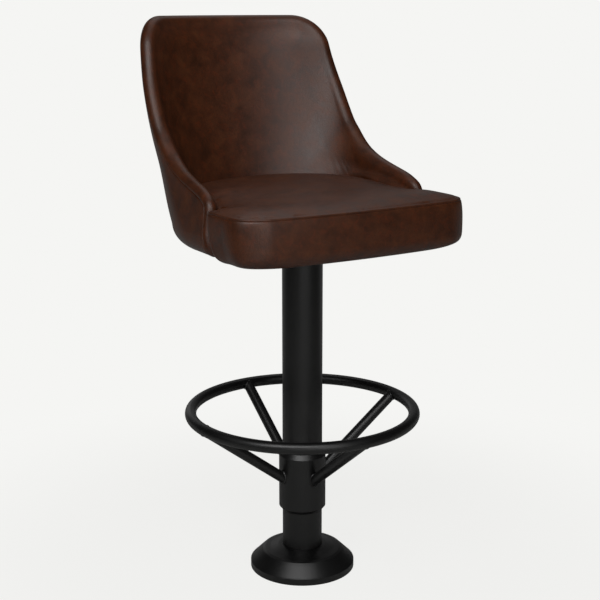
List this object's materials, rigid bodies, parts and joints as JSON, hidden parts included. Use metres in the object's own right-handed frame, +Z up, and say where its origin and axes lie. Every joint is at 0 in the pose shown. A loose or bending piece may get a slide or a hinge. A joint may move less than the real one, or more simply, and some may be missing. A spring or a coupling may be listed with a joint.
{
  "type": "bolt-down bar stool",
  "caption": "Bolt-down bar stool with a wrap-round upholstered back, a padded seat that turns freely, and a foot ring on a single column.",
  "frame": {"origin": "on the floor, at the centre of the anchor circle on the column's axis", "axes": "+Z up along the column, -Y towards the seat's front, +X to the right seen from the front"},
  "size_m": [0.4788, 0.5558, 1.05],
  "materials": {
    "black_powder_coat": "satin",
    "zinc_steel": "brushed",
    "bearing_steel": "polished",
    "bronze": "satin",
    "brown_leather": "soft sheen",
    "seat_foam": "matte",
    "birch_plywood": "matte",
    "black_cloth": "matte"
  },
  "bodies": {
    "base": {"floor_plate": "zinc_steel", "column_tube": "black_powder_coat", "foot_weld_bead": "black_powder_coat", "collar": "black_powder_coat", "foot_ring": "black_powder_coat", "foot_ring_struts": "black_powder_coat", "bearing_hub": "zinc_steel", "upper_bush": "bronze", "lower_bush": "bronze", "lower_race": "bearing_steel"},
    "floor_cover": {"floor_cover": "black_powder_coat"},
    "bearing_cage": {"bearing_balls": "bearing_steel", "ball_cage": "bronze"},
    "seat": {"upper_race": "bearing_steel", "spindle": "zinc_steel", "spindle_washer": "zinc_steel", "spindle_nut": "zinc_steel", "seat_plate": "black_powder_coat", "seat_bolts": "zinc_steel", "seat_bolt_washers": "zinc_steel", "seat_tee_nuts": "zinc_steel", "dust_cover": "black_cloth", "seat_board": "birch_plywood", "edge_foam": "seat_foam", "seat_foam": "seat_foam", "seat_top_panel": "brown_leather", "seat_boxing": "brown_leather", "back_rail": "birch_plywood", "back_board": "birch_plywood", "back_foam": "seat_foam", "back_inner_cover": "brown_leather", "back_outer_cover": "brown_leather", "back_bolts": "zinc_steel", "back_tee_nuts": "zinc_steel"}
  },
  "joints": [
    {"name": "seat_swivel", "type": "hinge", "parent": "base", "child": "seat", "pos_m": [0, 0, 0.6], "axis": [0, 0, 1], "continuous": true},
    {"name": "cage_turn", "type": "hinge", "parent": "base", "child": "bearing_cage", "pos_m": [0, 0, 0.6], "axis": [0, 0, 1], "continuous": true},
    {"name": "cover_lift", "type": "slide", "parent": "base", "child": "floor_cover", "axis": [0, 0, 1], "range_m": [0, 0.0735]}
  ],
  "couplings": [
    {"joint": "cage_turn", "follows": "seat_swivel", "ratio": 0.5}
  ]
}
